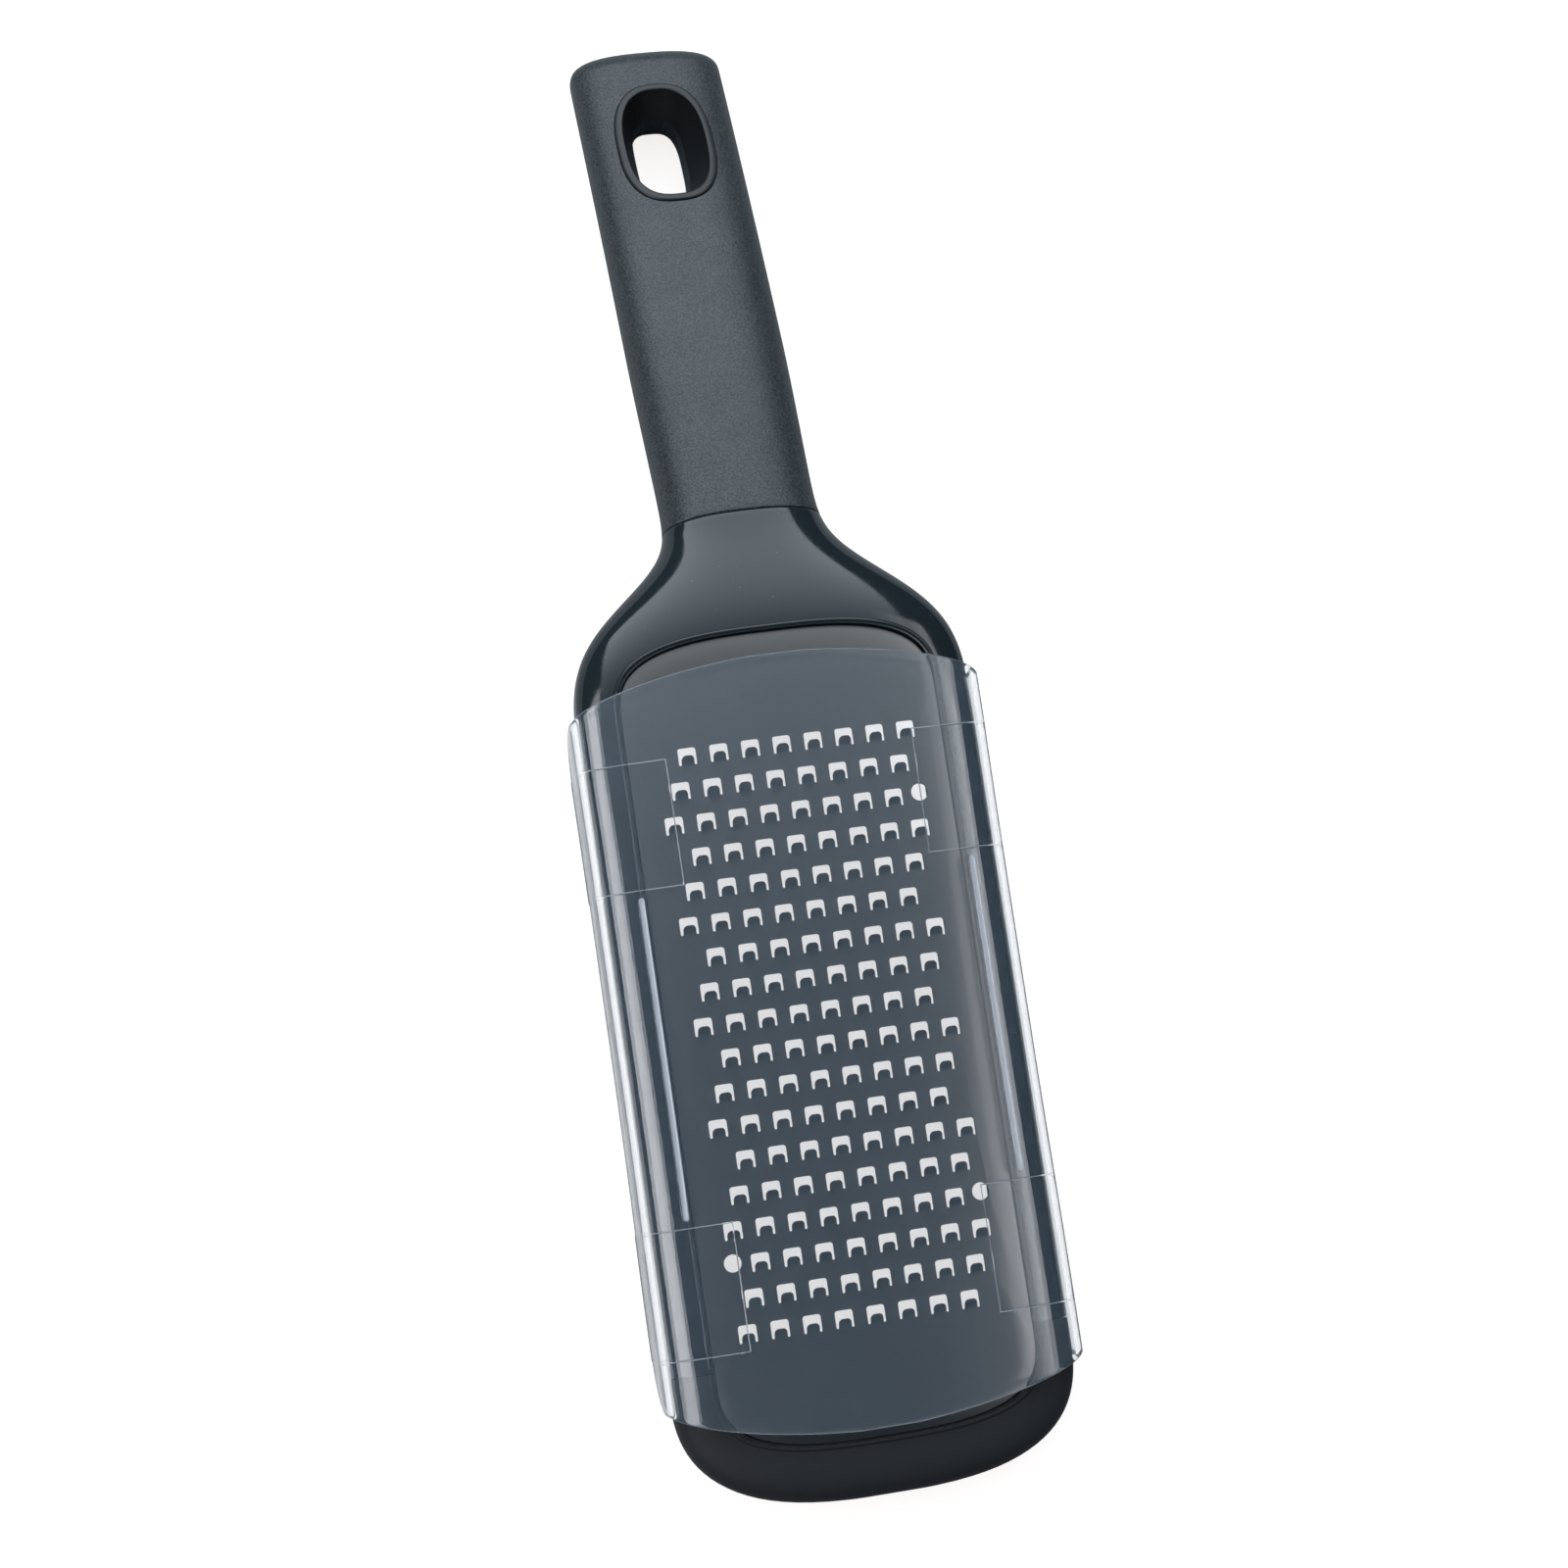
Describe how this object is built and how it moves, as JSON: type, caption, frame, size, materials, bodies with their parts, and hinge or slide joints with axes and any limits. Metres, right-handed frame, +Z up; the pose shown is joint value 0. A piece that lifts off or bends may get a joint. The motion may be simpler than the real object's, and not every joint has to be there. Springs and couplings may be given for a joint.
{
  "type": "hand grater",
  "caption": "Flat hand grater with a convex toothed steel plate, a bent-back sleeve grip with a hanging hole, and a clear slide-on cover.",
  "frame": {"origin": "centre of the bounding box on the surface that the grater lies on, cutting face up", "axes": "+Y along the tool toward the handle's end, +X across it, +Z up from the table"},
  "size_m": [0.0792, 0.2954, 0.039],
  "materials": {
    "stainless_steel": "fine brushed stainless",
    "gloss_frame": "gloss moulded, dark slate",
    "matte_grip": "fine-grained matte coat, slate grey",
    "liner": "satin moulded, near black",
    "soft_foot": "matte soft moulding, charcoal",
    "clear_cover": "clear moulded, polished"
  },
  "bodies": {
    "grater": {"blade": "stainless_steel", "frame": "gloss_frame", "grip": "matte_grip", "hole_liner": "liner", "foot": "soft_foot"},
    "guard": {"cover": "clear_cover"}
  },
  "joints": [
    {"name": "cover_slide", "type": "slide", "parent": "grater", "child": "guard", "axis": [0, -0.9902, -0.1394], "range_m": [0, 0.165]}
  ]
}
